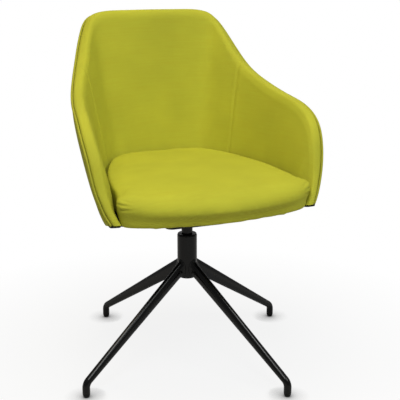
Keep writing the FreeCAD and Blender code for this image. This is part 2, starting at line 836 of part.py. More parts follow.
def make_parts():
    """Every piece of the chair by its name."""
    wall = Wall()
    cutter = seam_cutter(wall)
    parts = {"hub": make_hub(), "hub_cap": make_hub_cap()}
    leg = make_leg()
    glide = make_glide()
    for k in range(leg_count):
        parts["leg_%d" % (k + 1)] = turned_to_leg(leg, k)
        parts["glide_%d" % (k + 1)] = turned_to_leg(glide, k)
    parts["upper_bush"] = make_upper_bush()
    parts["lower_bush"] = make_lower_bush()
    parts["bearing_lower_race"] = make_lower_race()
    parts["bearing_cage"] = make_cage()
    parts["bearing_balls"] = make_balls()
    parts["bearing_upper_race"] = make_upper_race()
    parts["spindle"] = make_spindle()
    parts["retaining_washer"] = make_retaining_washer()
    parts["retaining_ring"] = make_retaining_ring()
    parts["seat_pan"] = make_pan()
    parts["pan_stiffener"] = make_stiffener()
    parts["spindle_washer"] = ring(
        nut_washer_diameter, spindle_thread_diameter + 2 * fit_clearance, nut_washer_bottom, nut_bottom
    )
    parts["spindle_nut"] = make_spindle_nut()
    parts["pan_bolts"] = Part.makeCompound([make_bolt(x, y) for x, y in bolt_places()])
    parts["pan_washers"] = Part.makeCompound([make_bolt_washer(x, y) for x, y in bolt_places()])
    parts["tee_nuts"] = Part.makeCompound([make_tee_nut(x, y) for x, y in bolt_places()])
    parts["seat_board"] = make_board(wall)
    parts["shell_core"] = make_core(wall)
    parts["shell_screws"] = Part.makeCompound([make_screw(s) for s in screw_stands(wall)])
    covers = split_at_seams(wall_loft(cover_section, wall.stations()), cutter)
    parts["back_cover"], parts["left_arm_cover"], parts["right_arm_cover"] = covers
    pads = split_at_seams(wall_loft(pad_section, wall.stations()), cutter)
    parts["back_pad"], parts["left_arm_pad"], parts["right_arm_pad"] = pads
    parts["rim_piping"] = make_piping(wall)
    parts["seat_cushion"] = make_cushion(wall)
    return parts


os.makedirs("parts", exist_ok=True)
for name, shape in make_parts().items():
    shape.exportStep("parts/%s.step" % name)
    box = shape.BoundBox
    print(name, len(shape.Solids), shape.isValid(), round(shape.Volume / 1000, 2), "cm3",
          "z", round(box.ZMin, 1), round(box.ZMax, 1))
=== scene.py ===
# %% [markdown]
# # An upholstered tub chair
# The chair's construction comes packed from CAD: a steel base, a swivel, a seat board and plain
# solids for the upholstery. This lesson dresses it. The steel pieces keep their CAD shape and get
# a finish. Every soft piece is worked out again as a surface, because cloth over foam has
# rounder edges, seams and creases than a construction solid needs.

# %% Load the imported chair
import json
import math

import bmesh
import bpy
import numpy as np
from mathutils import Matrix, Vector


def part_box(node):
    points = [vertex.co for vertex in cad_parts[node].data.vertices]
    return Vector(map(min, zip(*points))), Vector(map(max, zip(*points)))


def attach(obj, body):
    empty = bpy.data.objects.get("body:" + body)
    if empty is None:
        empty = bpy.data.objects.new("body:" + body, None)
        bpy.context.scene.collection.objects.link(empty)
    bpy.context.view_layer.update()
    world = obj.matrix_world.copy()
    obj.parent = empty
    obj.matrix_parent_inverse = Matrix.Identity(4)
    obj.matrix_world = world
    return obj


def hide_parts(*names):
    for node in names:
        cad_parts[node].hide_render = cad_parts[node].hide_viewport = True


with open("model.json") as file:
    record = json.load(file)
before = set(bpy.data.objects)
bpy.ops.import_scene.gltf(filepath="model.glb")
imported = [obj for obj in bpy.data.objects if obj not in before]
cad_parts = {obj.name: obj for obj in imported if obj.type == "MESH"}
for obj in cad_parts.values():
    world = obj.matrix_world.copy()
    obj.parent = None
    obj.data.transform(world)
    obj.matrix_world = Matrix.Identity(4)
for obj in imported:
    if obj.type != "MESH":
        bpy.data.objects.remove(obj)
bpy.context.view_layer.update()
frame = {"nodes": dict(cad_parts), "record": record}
MM = 0.001
board_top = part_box("seat_board")[1].z

# %% [markdown]
# ## Surfaces on a grid
# A curved piece can be pushed and pulled by hand, or worked out as points on a grid of rows and
# columns. The grid is chosen here: the same few helpers then make every soft piece, and a change
# to a formula changes the whole piece. Each point also carries its place on the flat cloth, in
# metres, so that the weave can follow the piece.

# %% Helpers for meshes
def grid_quads(rows, columns):
    """Corners of each quad between neighbouring rows, where the last column joins the first."""
    row = np.arange(rows - 1)[:, None]
    column = np.arange(columns)[None, :]
    after = (column + 1) % columns
    corners = (
        row * columns + column,
        row * columns + after,
        (row + 1) * columns + after,
        (row + 1) * columns + column,
    )
    return np.stack(corners, axis=-1).reshape(-1, 4).tolist()


def set_cloth(mesh, cloth):
    """Stores each point's place on the flat cloth."""
    place = mesh.attributes.new("cloth", "FLOAT_VECTOR", "POINT")
    place.data.foreach_set("vector", np.ascontiguousarray(cloth, np.float32).ravel())


def make_piece(name, points, faces, cloth=None):
    """A mesh object from points and faces, with its faces turned outwards and shaded smooth."""
    mesh = bpy.data.meshes.new(name)
    mesh.from_pydata(points.tolist(), [], faces)
    if cloth is not None:
        set_cloth(mesh, cloth)
    shape = bmesh.new()
    shape.from_mesh(mesh)
    bmesh.ops.recalc_face_normals(shape, faces=shape.faces)
    shape.to_mesh(mesh)
    shape.free()
    mesh.shade_smooth()
    piece = bpy.data.objects.new(name, mesh)
    bpy.context.scene.collection.objects.link(piece)
    return piece


def closed_stack(name, points, cloth=None):
    """A stack of closed loops, one per row, with a face over the first and the last."""
    rows, columns = points.shape[:2]
    faces = grid_quads(rows, columns)
    faces.append(list(range(columns)))
    faces.append(list(range((rows - 1) * columns, rows * columns)))
    return make_piece(name, points.reshape(-1, 3), faces, cloth)


def travelled(points, axis):
    """Length of the way along one axis of a grid of points, from its start."""
    steps = np.linalg.norm(np.diff(points, axis=axis), axis=-1)
    start = np.zeros_like(np.take(steps, [0], axis=axis))
    return np.cumsum(np.concatenate([start, steps], axis=axis), axis=axis)


def carried_loop(name, points):
    """A closed profile carried along a path, whose way along and around is its place on the cloth."""
    along = travelled(points, 0)[:, points.shape[1] // 4]
    around = travelled(points, 1)
    cloth = np.stack(np.broadcast_arrays(along[:, None], around, 0.0), axis=-1)
    return closed_stack(name, points, cloth.reshape(-1, 3))


print("grid of 3 by 4:", len(grid_quads(3, 4)), "quads")

# %% Helpers for curves
def ease(value):
    """Rises smoothly from 0 to 1 as its value goes from 0 to 1."""
    value = np.clip(value, 0, 1)
    return value * value * (3 - 2 * value)


def unit(vectors):
    """Vectors of length one."""
    return vectors / np.linalg.norm(vectors, axis=-1, keepdims=True)


def smooth_line(keys, values, at):
    """Natural cubic spline: a cubic between each pair of points, with slopes and bends that match."""
    gap = np.diff(keys)
    slope = np.diff(values, axis=0) / gap[:, None]
    inner = np.arange(1, len(keys) - 1)
    system = np.eye(len(keys))
    system[inner, inner - 1] = gap[:-1]
    system[inner, inner] = 2 * (gap[:-1] + gap[1:])
    system[inner, inner + 1] = gap[1:]
    target = np.zeros_like(values)
    target[1:-1] = 6 * np.diff(slope, axis=0)
    bend = np.linalg.solve(system, target)
    span = np.clip(np.searchsorted(keys, at) - 1, 0, len(keys) - 2)
    after = ((at - keys[span]) / gap[span])[:, None]
    before = 1 - after
    bowed = (before**3 - before) * bend[span] + (after**3 - after) * bend[span + 1]
    return before * values[span] + after * values[span + 1] + bowed * (gap[span] ** 2)[:, None] / 6


print("halfway eased:", ease(0.5))

# %% [markdown]
# ## The wall
# Back and arms are one moulded wall, wrapped in padded cloth. Its rim sweeps from the high back
# down to the arms and round to their tips. A few points of the rim and of the foot below it say
# all of that, and a spline runs through them. Any point of the wall is then found from three
# numbers: how far round (0 at the middle of the back, 1 and -1 at the tips), how far up from foot
# to rim, and how deep from the outer face.

# %% Rim and foot of the wall
# Rim x, rim y, rim height over the board, foot x, foot y, in millimetres, from back to arm tip
WALL_POINTS = np.array([
    (0, 279, 427, 0, 228),
    (80, 278, 426.5, 56, 225),
    (134, 275, 424, 92, 216),
    (163, 268, 416, 110, 208),
    (192, 240, 380, 133, 191),
    (217, 194, 322, 157, 163),
    (232, 159, 289, 174, 134),
    (252, 95, 258, 196, 90),
    (270, 11, 235, 216, 22),
    (281, -73, 216, 229.5, -42),
    (284, -123, 187, 235, -85),
    (279, -156, 139, 238.5, -114),
    (268, -176, 74, 241, -138),
    (262, -182.5, 54, 241.5, -145),
    (256, -188, 36, 242, -151),
    (249.5, -193.5, 21, 242.5, -156.5),
    (243, -198, 8, 243, -161),
]) * MM

half_rim = WALL_POINTS[:, :3] + np.array([0, 0, board_top])
half_foot = np.insert(WALL_POINTS[:, 3:], 2, board_top, axis=1)
mirror = np.array([-1, 1, 1])
wall_rim = np.concatenate([half_rim[:0:-1] * mirror, half_rim])
wall_foot = np.concatenate([half_foot[:0:-1] * mirror, half_foot])
rim_length = travelled(half_rim, 0)
point_shares = rim_length / rim_length[-1]
wall_keys = np.concatenate([-point_shares[:0:-1], point_shares])
print("half the rim is", round(rim_length[-1], 3), "m long")

# %% Points of the wall
RIM_DROP = 6 * MM
WALL_BULGE = 15 * MM
BULGE_POWER = 3
FOOT_THICKNESS = 23 * MM
MIDDLE_THICKNESS = 35 * MM
RIM_THICKNESS = 32 * MM
TIP_THICKNESS = 17 * MM
TAPER_LENGTH = 150 * MM
# Half the share over which the foot's heading is taken
HEADING_STEP = 1e-4


def wall_lines(share):
    """Foot, rim, way inwards, way up and length of the wall's section at each share."""
    flat = np.ravel(share)
    foot = smooth_line(wall_keys, wall_foot, flat)
    top = smooth_line(wall_keys, wall_rim, flat)
    ahead = smooth_line(wall_keys, wall_foot, flat + HEADING_STEP)
    along = ahead - smooth_line(wall_keys, wall_foot, flat - HEADING_STEP)
    inward = unit(np.stack([along[:, 1], -along[:, 0], np.zeros(len(flat))], axis=-1))
    chord = top - foot
    up = unit(chord - inward * np.sum(chord * inward, axis=-1, keepdims=True))
    rim = top - up * RIM_DROP
    length = np.linalg.norm(rim - foot, axis=-1)
    form = np.shape(share)
    return {
        "foot": foot.reshape(form + (3,)),
        "rim": rim.reshape(form + (3,)),
        "inward": inward.reshape(form + (3,)),
        "up": up.reshape(form + (3,)),
        "length": length.reshape(form),
    }


def wall_point(lines, height, depth):
    """Point at a share of the height and a depth in from the outer face, which bows out as a parabola."""
    low = np.minimum(height, 1)
    over = np.maximum(height - 1, 0) * lines["length"]
    fullness = WALL_BULGE * (lines["length"] / WALL_POINTS[0, 2]) ** BULGE_POWER
    bow = 4 * fullness * np.maximum(low, 0) * (1 - low)
    place = lines["foot"] + (lines["rim"] - lines["foot"]) * low[..., None]
    return place + lines["up"] * over[..., None] + lines["inward"] * (depth - bow)[..., None]


def wall_thickness(length, height):
    """Thickness of the padded wall: a parabola from foot over middle to rim, thinner at the arm tips."""
    grown = np.minimum(length / TAPER_LENGTH, 1)
    rim = TIP_THICKNESS + (RIM_THICKNESS - TIP_THICKNESS) * grown
    middle = FOOT_THICKNESS + (MIDDLE_THICKNESS - FOOT_THICKNESS) * grown
    bend = 2 * (FOOT_THICKNESS + rim - 2 * middle)
    climb = rim - FOOT_THICKNESS - bend
    return FOOT_THICKNESS + climb * height + bend * height**2


print("the back's section is", round(float(wall_lines(np.zeros(1))["length"][0]), 3), "m long")

# %% [markdown]
# ## Back and arm pads
# The inside of the wall is foam under cloth, in three panels sewn together at two upright seams.
# A panel is one closed loop carried round the wall: up the inner face, over the rounded rim, and
# down behind. A rounded rim could be a bevel, but a superellipse gives the full, slightly flat
# roll of foam. At a seam the cloth is pulled in, so the loop is drawn back there by a bell curve.

# %% Seams
SEAM_POINT = 6
SEAM_LEAN = 15 * MM
SEAM_GAP = 0.1 * MM
SEAM_WIDTH = 5 * MM
# Height of the ridge beside a seam, as a share of the pull, and its distance in seam widths
RIDGE_SHARE = 0.3
RIDGE_PLACE = 2.4
BACK_ROWS = 140
ARM_ROWS = 110

seam_share = point_shares[SEAM_POINT]
share_per_metre = 1 / rim_length[-1]
gap_share = SEAM_GAP * share_per_metre
# First share, last share and rows of each panel
PANELS = {
    "back": (-seam_share + gap_share, seam_share - gap_share, BACK_ROWS),
    "left_arm": (seam_share + gap_share, 1.0, ARM_ROWS),
    "right_arm": (-1.0, -seam_share - gap_share, ARM_ROWS),
}


def panel_shares(first, last, rows, height):
    """Shares of a panel's rows, close together at its ends, with its seams leaning back as they rise."""
    way = (1 - np.cos(np.pi * np.linspace(0, 1, rows)))[:, None] / 2
    lean = SEAM_LEAN * share_per_metre * np.clip(height, 0, 1)
    ends = []
    for end in (first, last):
        at_seam = abs(end) < 1
        ends.append(end - np.sign(end) * lean * at_seam)
    return ends[0] + (ends[1] - ends[0]) * way


def seam_pull(shares, first, last):
    """Bell curve of how far the cloth is drawn in: 1 at a panel's seams, with a low ridge beside it."""
    pull = np.zeros_like(shares)
    for end, column in ((first, shares[:1]), (last, shares[-1:])):
        if abs(end) < 1:
            distance = np.abs(shares - column) / share_per_metre / SEAM_WIDTH
            ridge = RIDGE_SHARE * np.exp(-((distance - RIDGE_PLACE) ** 2))
            pull = pull + np.exp(-(distance**2)) - ridge
    return pull


print("seams at", round(seam_share, 3), "of the way to the tips")

# %% Pads
CORE_OUTER = 5.3 * MM
PAD_BACK = 14.2 * MM
PAD_PINCH = 1.1 * MM
RIM_ROLL = 18 * MM
RIM_CROWN = 9.5 * MM
INNER_POWER = 2.3
OUTER_POWER = 4.0
RIM_FOLD = 13.7 * MM
RIM_LIP = 2.2 * MM
LIP_RISE = 4 * MM
FACE_COLUMNS = 40
ROLL_COLUMNS = 30
BACK_COLUMNS = 12


def pad_loop(first, last, rows):
    """Points of a pad: inner face at the wall's thickness, superellipse over the rim, and flat back."""
    face = np.linspace(0, 1, FACE_COLUMNS)
    turn = np.linspace(0, np.pi, ROLL_COLUMNS)[1:]
    behind = np.linspace(1, 0, BACK_COLUMNS)
    part = np.concatenate([face, np.ones(len(turn)), behind])
    shares = panel_shares(first, last, rows, part[None, :])
    lines = wall_lines(shares)
    pull = PAD_PINCH * seam_pull(shares, first, last)
    splits = [len(face), len(face) + len(turn)]
    face_length, roll_length, back_length = np.split(lines["length"], splits, axis=1)
    face_pull, roll_pull, _ = np.split(pull, splits, axis=1)

    face_height = face * (1 - RIM_ROLL / face_length)
    face_depth = wall_thickness(face_length, face_height) - face_pull

    rim_depth = face_depth[:, -1:]
    middle = (rim_depth + CORE_OUTER) / 2
    half = (rim_depth - CORE_OUTER) / 2
    inner_half = turn < np.pi / 2
    power = 2 / np.where(inner_half, INNER_POWER, OUTER_POWER)
    across = np.sign(np.cos(turn)) * np.abs(np.cos(turn)) ** power
    lift = np.abs(np.sin(turn)) ** power
    below = np.where(inner_half, RIM_ROLL, RIM_FOLD)
    rise = below + RIM_CROWN - roll_pull
    roll_height = 1 + (rise * lift - below) / roll_length
    lip = RIM_LIP * ease((roll_height - 1) * roll_length / LIP_RISE)
    roll_depth = middle + half * across + lip * np.minimum(across, 0)

    back_height = behind * (1 - RIM_FOLD / back_length)
    back_depth = np.full_like(back_height, PAD_BACK)
    height = np.concatenate([face_height, roll_height, back_height], axis=1)
    depth = np.concatenate([face_depth, roll_depth, back_depth], axis=1)
    return wall_point(lines, height, depth)


pads = {}
for place, (first, last, rows) in PANELS.items():
    pads[place] = carried_loop("padded_" + place, pad_loop(first, last, rows))
    print(pads[place].name, len(pads[place].data.polygons), "faces")

# %% [markdown]
# ## Outer covers
# The outside of the wall is cloth over thin foam. Its loop is a long flat shape: the outer face,
# a small round at the top where the piping sits, the hidden inner face, and a small round below.

# %% Covers
COVER_THICKNESS = 5 * MM
COVER_FULLNESS = 4.5 * MM
COVER_POWER = 4
COVER_PINCH = 1.4 * MM
EDGE_COLUMNS = 9


def cover_loop(first, last, rows):
    """Points of a cover: swelled outer face, top edge, flat inner face and bottom edge, edges half round."""
    face = np.linspace(0, 1, FACE_COLUMNS)
    turn = np.linspace(0, np.pi, EDGE_COLUMNS)[1:-1]
    none = np.zeros(FACE_COLUMNS)
    part = np.concatenate([face, np.ones(len(turn)), face[::-1], np.zeros(len(turn))])
    inside = np.concatenate([none, (1 - np.cos(turn)) / 2, none + 1, (1 + np.cos(turn)) / 2])
    past_end = np.concatenate([none, np.sin(turn), none, -np.sin(turn)])
    shares = panel_shares(first, last, rows, part[None, :])
    lines = wall_lines(shares)
    edge = COVER_THICKNESS / 2 / lines["length"]
    height = edge + part * (1 - 2 * edge) + past_end * edge
    pull = COVER_PINCH * seam_pull(shares, first, last)
    swell = COVER_FULLNESS * (1 - (2 * part - 1) ** COVER_POWER) - pull
    depth = inside * COVER_THICKNESS - (1 - inside) * swell
    return wall_point(lines, height, depth)


covers = {}
for place, (first, last, rows) in PANELS.items():
    covers[place] = carried_loop("outer_" + place, cover_loop(first, last, rows))
    print(covers[place].name, len(covers[place].data.polygons), "faces")

# %% [markdown]
# ## Piping
# A cord wrapped in the same cloth is sewn along the rim, between cover and pad. It is a round
# profile carried along the rim: each ring of points stands square to the way the rim runs.

# %% Piping along the rim
PIPING_RADIUS = 2.6 * MM
PIPING_LIFT = 2.6 * MM
PIPING_DEPTH = 1.2 * MM
PIPING_ROWS = 420
PIPING_COLUMNS = 14


def piping_rings():
    """Rings of points about the line of the piping, which lies over the cover's top edge."""
    shares = np.linspace(-1, 1, PIPING_ROWS)
    lines = wall_lines(shares)
    base = wall_point(lines, np.ones(PIPING_ROWS), np.full(PIPING_ROWS, PIPING_DEPTH))
    heading = unit(np.gradient(base, axis=0))
    over = unit(np.cross(lines["inward"], heading))
    middle = base + over * PIPING_LIFT
    side = unit(np.cross(heading, over))
    angle = np.linspace(0, 2 * np.pi, PIPING_COLUMNS, endpoint=False)[None, :, None]
    ring = np.cos(angle) * side[:, None] + np.sin(angle) * over[:, None]
    return middle[:, None] + PIPING_RADIUS * ring


piping = carried_loop("rim_welt", piping_rings())
print(piping.name, len(piping.data.polygons), "faces")

# %% [markdown]
# ## Seat cushion
# The cushion is a thick slab of foam in a tight cloth. It fills the tub, so at every height its
# outline runs beside the wall at that height, and in front of the arms it turns round two full
# corners. Its top edge is a tight roll beside the wall and a wide one in front, and its top is
# crowned. It is drawn a little small, and then a cloth simulation blows it up, as the foam does
# inside its cover. How far a point may move is capped, so the cushion keeps clear of the arms.
# The pull of the cloth over the front corners is pressed in last, as short creases.

# %% Outline of the cushion
# Points of the wall, counted from the back, that the outline runs beside
CUSHION_POINTS = [0, 2, 4, 6, 8, 10, 11]
# Plan of the front from the arm's tip to the middle: x and y in millimetres
CUSHION_FRONT = np.array([(228, -181), (232, -203), (210, -223), (115, -250), (0, -263)]) * MM
CUSHION_CLEARANCE = 3 * MM
CUSHION_EDGE = 75 * MM
OUTLINE_COLUMNS = 240


def cushion_corners(height):
    """Plan points all round the cushion at a height over the board: beside the wall, then the front."""
    lines = wall_lines(point_shares[CUSHION_POINTS])
    share = height / (lines["rim"][:, 2] - board_top)
    depth = wall_thickness(lines["length"], share) + CUSHION_CLEARANCE
    beside = wall_point(lines, share, depth)[:, :2]
    half = np.concatenate([beside, CUSHION_FRONT])
    return np.concatenate([half, half[-2:0:-1] * np.array([-1, 1])])


def cushion_outlines(heights):
    """Smooth closed outline at each height: a spline through the plan points, over three laps."""
    first = cushion_corners(CUSHION_EDGE / 2)
    keys = travelled(np.concatenate([first, first, first, first[:1]]), 0)
    at = np.linspace(keys[len(first)], keys[2 * len(first)], OUTLINE_COLUMNS, endpoint=False)
    outlines = []
    for height in heights:
        plan = cushion_corners(height)
        outlines.append(smooth_line(keys, np.concatenate([plan, plan, plan, plan[:1]]), at))
    return np.array(outlines)


edge_outline = cushion_outlines([CUSHION_EDGE])[0]
print("the cushion's edge is", np.round(np.ptp(edge_outline, axis=0), 3), "m in plan")

# %% Cushion before it is filled
CUSHION_CROWN = 9 * MM
CUSHION_FOOT = 14 * MM
CUSHION_REST = 0.4 * MM
CUSHION_MIDDLE = np.array([0, -25 * MM])
CUSHION_RAKE = math.radians(2)
REAR_SHARE = 0.35
FOOT_INSET = 10 * MM
FOOT_INSET_LOST = 0.6
FRONT_TUCK = 15 * MM
CORNER_TUCK = 10 * MM
CORNER_Y = -192 * MM
CORNER_SPAN = 22 * MM
SIDE_ROLL = 9 * MM
FRONT_ROLL = 52 * MM
ROLL_RISE = 0.8
EDGE_POWER = 2.1
ROLL_BEGINS = 185 * MM
ROLL_GROWS = 72 * MM
FRONT_SAG = 3 * MM
BOARD_FRONT = 206 * MM
SAG_SPAN = 24 * MM
SAG_TOP = 0.5
SLACK = 2 * MM
UNDER_ROWS = 14
FOOT_ROWS = 7
SIDE_ROWS = 12
ROLL_ROWS = 14
TOP_ROWS = 20
# Shares of the way out to the edge at which the bottom's rows begin and end, and the top's end
UNDER_SPAN = (0.06, 0.96)
TOP_END = 0.02


def front_sag(y):
    """How far the bottom hangs down in front of the board: eased from the board's edge on."""
    return FRONT_SAG * ease((-y - BOARD_FRONT) / SAG_SPAN)


def cushion_side(y):
    """Height and inset of the side's rows: round foot, side that leans out, superellipse over the edge."""
    turn = np.radians(np.linspace(0, 90, FOOT_ROWS))[:, None]
    climb = np.linspace(0, 1, SIDE_ROWS)[1:-1, None]
    roll = np.radians(np.linspace(0, 90, ROLL_ROWS))[:, None]
    front = ease((-y - ROLL_BEGINS) / ROLL_GROWS)
    tuck = FRONT_TUCK * front + CORNER_TUCK * np.exp(-(((y - CORNER_Y) / CORNER_SPAN) ** 2))
    radius = SIDE_ROLL + (FRONT_ROLL - SIDE_ROLL) * front
    rise = ROLL_RISE * radius
    foot_high = CUSHION_REST + (CUSHION_FOOT - CUSHION_REST) * (1 - np.cos(turn)) + np.zeros_like(y)
    foot_inset = FOOT_INSET * (1 - np.sin(turn)) * (1 - FOOT_INSET_LOST * front) + tuck
    side_high = CUSHION_FOOT + (CUSHION_EDGE - rise - CUSHION_FOOT) * climb
    side_inset = tuck * (1 - ease(climb))
    roll_high = CUSHION_EDGE - rise * (1 - np.sin(roll) ** (2 / EDGE_POWER))
    roll_inset = radius * (1 - np.cos(roll) ** (2 / EDGE_POWER))
    high = np.concatenate([foot_high, side_high, roll_high])
    return high, np.concatenate([foot_inset, side_inset, roll_inset])


def cushion_grid(slack):
    """Rows of points from the middle of the bottom, round the foot, up the side and over the top."""
    under = np.linspace(*UNDER_SPAN, UNDER_ROWS)
    over = np.linspace(1, TOP_END, TOP_ROWS)[1:]
    high, inset = cushion_side(edge_outline[:, 1])
    spoke = cushion_outlines(high.mean(axis=1)) - CUSHION_MIDDLE
    reach = np.linalg.norm(spoke, axis=-1)
    ring = CUSHION_MIDDLE + spoke * (1 - (inset + slack) / reach)[..., None]
    bottom = CUSHION_MIDDLE + (ring[0] - CUSHION_MIDDLE) * under[:, None, None]
    top = CUSHION_MIDDLE + (ring[-1] - CUSHION_MIDDLE) * over[:, None, None]
    flat = np.concatenate([bottom, ring, top])
    bottom_high = np.full((len(under), OUTLINE_COLUMNS), CUSHION_REST)
    crowned = CUSHION_EDGE + CUSHION_CROWN * (1 - over[:, None] ** 2)
    top_high = np.repeat(crowned, OUTLINE_COLUMNS, axis=1)
    level = np.concatenate([bottom_high, high, top_high])
    grown = np.minimum(level / CUSHION_EDGE, 1)
    ahead = flat[..., 1] - CUSHION_MIDDLE[1]
    lean = math.tan(CUSHION_RAKE) * grown * np.minimum(ahead, REAR_SHARE * ahead)
    sag = front_sag(flat[..., 1]) * (1 - ease(grown / SAG_TOP))
    height = board_top + level - slack * grown + lean - sag
    return np.concatenate([flat, height[..., None]], axis=-1)


cushion = closed_stack("seat_padding", cushion_grid(SLACK))
print(cushion.name, "starts", np.round(cushion.dimensions, 3))

# %% Fill the cushion
VOXEL = 5 * MM
CLOTH_QUALITY = 5
CLOTH_MASS = 0.3
FILL_PRESSURE = 4.0
FILL_FRAMES = 20
FILL_CAP = 3.5 * MM


def vectors_of(points, field):
    """The vector that each of a mesh's points holds in a field, as one array."""
    values = np.empty(len(points) * 3, np.float32)
    points.foreach_get(field, values)
    return values.reshape(-1, 3).astype(float)


def set_places(mesh, places):
    """Puts a mesh's points in new places."""
    mesh.vertices.foreach_set("co", np.ascontiguousarray(places, np.float32).ravel())
    mesh.update()


def applied(piece):
    """Makes what a piece's modifiers give its own mesh."""
    shape = piece.evaluated_get(bpy.context.evaluated_depsgraph_get())
    mesh = bpy.data.meshes.new_from_object(shape)
    piece.modifiers.clear()
    piece.data = mesh


def remeshed(piece):
    """Covers a piece evenly with small quads."""
    remesh = piece.modifiers.new("remesh", "REMESH")
    remesh.mode = "VOXEL"
    remesh.voxel_size = VOXEL
    applied(piece)


def filled(piece):
    """Blows a closed piece up as cloth, with no point moved by more than the cap."""
    start = vectors_of(piece.data.vertices, "co")
    cloth = piece.modifiers.new("cloth", "CLOTH")
    cloth.settings.quality = CLOTH_QUALITY
    cloth.settings.mass = CLOTH_MASS
    cloth.settings.use_pressure = True
    cloth.settings.uniform_pressure_force = FILL_PRESSURE
    cloth.settings.effector_weights.gravity = 0
    for number in range(1, FILL_FRAMES + 1):
        bpy.context.scene.frame_set(number)
    shape = piece.evaluated_get(bpy.context.evaluated_depsgraph_get())
    moved = vectors_of(shape.to_mesh().vertices, "co") - start
    shape.to_mesh_clear()
    piece.modifiers.remove(cloth)
    bpy.context.scene.frame_set(1)
    far = np.linalg.norm(moved, axis=-1, keepdims=True)
    set_places(piece.data, start + moved * (FILL_CAP / np.maximum(far, FILL_CAP)))


remeshed(cushion)
filled(cushion)
print(cushion.name, len(cushion.data.vertices), "points", np.round(cushion.dimensions, 3))

# %% Rest the cushion on its board and press in the creases
SMOOTH_PASSES = 5
SMOOTH_FACTOR = 0.5
# Creases at the front corners: x, y and height over the board in millimetres, way across,
# and length, width and depth in millimetres
CREASES = np.array([
    (-220, -208, 54, 0.1, 0.0, 1.0, 18, 2.6, 3.0),
    (-217, -211, 43, -0.1, 0.0, 1.0, 17, 2.6, 2.5),
    (-212, -212, 63, 0.4, 0.2, 0.9, 15, 2.6, 1.6),
    (220, -206, 51, -0.3, 0.1, 1.0, 17, 2.6, 2.5),
    (217, -210, 39, 0.1, 0.0, 1.0, 16, 2.6, 2.2),
    (214, -208, 63, -0.5, 0.3, 0.8, 15, 2.6, 1.6),
])


def creased(places, ways):
    """Presses short grooves in: a bell across each crease, faded by a bell along it."""
    for crease in CREASES:
        middle = crease[:3] * MM + np.array([0, 0, board_top])
        across = unit(crease[3:6])
        length, width, depth = crease[6:] * MM
        away = places - middle
        off = away @ across
        along = np.sqrt(np.maximum(np.sum(away**2, axis=-1) - off**2, 0))
        bell = np.exp(-((off / width) ** 2) - (along / length) ** 2)
        places = places - ways * (depth * bell)[:, None]
    return places


smooth = cushion.modifiers.new("smooth", "SMOOTH")
smooth.factor = SMOOTH_FACTOR
smooth.iterations = SMOOTH_PASSES
subdivision = cushion.modifiers.new("subdivision", "SUBSURF")
subdivision.levels = 1
subdivision.render_levels = 1
applied(cushion)
skin = cushion.data
places = creased(vectors_of(skin.vertices, "co"), vectors_of(skin.vertex_normals, "vector"))
lowest = board_top + CUSHION_REST - front_sag(places[:, 1])
places[:, 2] = np.maximum(places[:, 2], lowest)
set_places(skin, places)
x, y, z = places.T
set_cloth(skin, np.stack([x, y + z, np.zeros_like(x)], axis=-1))
skin.shade_smooth()
print(cushion.name, "ends", np.round(cushion.dimensions, 3), "top", round(z.max(), 4))

# %% [markdown]
# ## Shoes under the arm tips
# Under each arm's tip a black moulded shoe closes the end of the wall, and shows as a dark strip
# below the cloth. It is a flat plate with round corners: superellipses across the end of the wall,
# stacked downwards, of which the last ones are drawn in.

# %% Shoes
SHOE_GAP = 0.9 * MM
SHOE_HEIGHT = 3.5 * MM
SHOE_LENGTH = 40 * MM
SHOE_INSET = 1 * MM
SHOE_SHIFT = 4 * MM
SHOE_POWER = 4
SHOE_COLUMNS = 48
# Each ring's share of the way down, and of the outline
SHOE_LEVELS = np.array([0, 0, 0.3, 0.6, 0.85, 1, 1])[:, None, None]
SHOE_DRAWN = np.array([0.5, 1, 1, 1, 0.97, 0.9, 0.5])[:, None, None]


def shoe_rings(side):
    """Rings of one shoe: along the end of the wall, across it, and down square to both."""
    end = wall_lines(np.array([side * 1.0]))
    halfway = np.array([0.5])
    depth = wall_thickness(end["length"], halfway)
    middle = wall_point(end, halfway, depth / 2)[0] + end["up"][0] * SHOE_SHIFT
    down = side * np.cross(end["up"][0], end["inward"][0])
    angle = np.linspace(0, 2 * np.pi, SHOE_COLUMNS, endpoint=False)[:, None]
    across = np.sign(np.cos(angle)) * np.abs(np.cos(angle)) ** (2 / SHOE_POWER)
    along = np.sign(np.sin(angle)) * np.abs(np.sin(angle)) ** (2 / SHOE_POWER)
    ring = (depth / 2 - SHOE_INSET) * across * end["inward"] + SHOE_LENGTH / 2 * along * end["up"]
    return middle + ring * SHOE_DRAWN + down * (SHOE_GAP + SHOE_HEIGHT * SHOE_LEVELS)


shoes = [closed_stack("left_shoe", shoe_rings(1)), closed_stack("right_shoe", shoe_rings(-1))]
print(len(shoes), "shoes of", len(shoes[0].data.polygons), "faces")

# %% [markdown]
# ## Welds
# Each leg is welded to the hub, and the coating runs over the weld, so leg and hub meet in a
# small hollow curve. The line where the leg's oval meets the hub's cylinder can be solved: across
# the leg its width says how far round the hub it lies, and so how far out. A small three-sided
# profile with a hollow face is then carried along that line.

# %% Skin of a leg
LEG_COUNT = 4
LEG_TURN = math.radians(24.6)
HUB_RADIUS = 48.3 / 2 * MM
FOOT_CIRCLE = 325 * MM
LEG_WIDTH = 17.5 * MM
LEG_ROOT_HEIGHT = 36 * MM
LEG_ROOT_Z = 231 * MM
LEG_FOOT_DEPTH = 17.9 * MM
KNEE_RADIUS = 20 * MM
KNEE_Z = 22 * MM

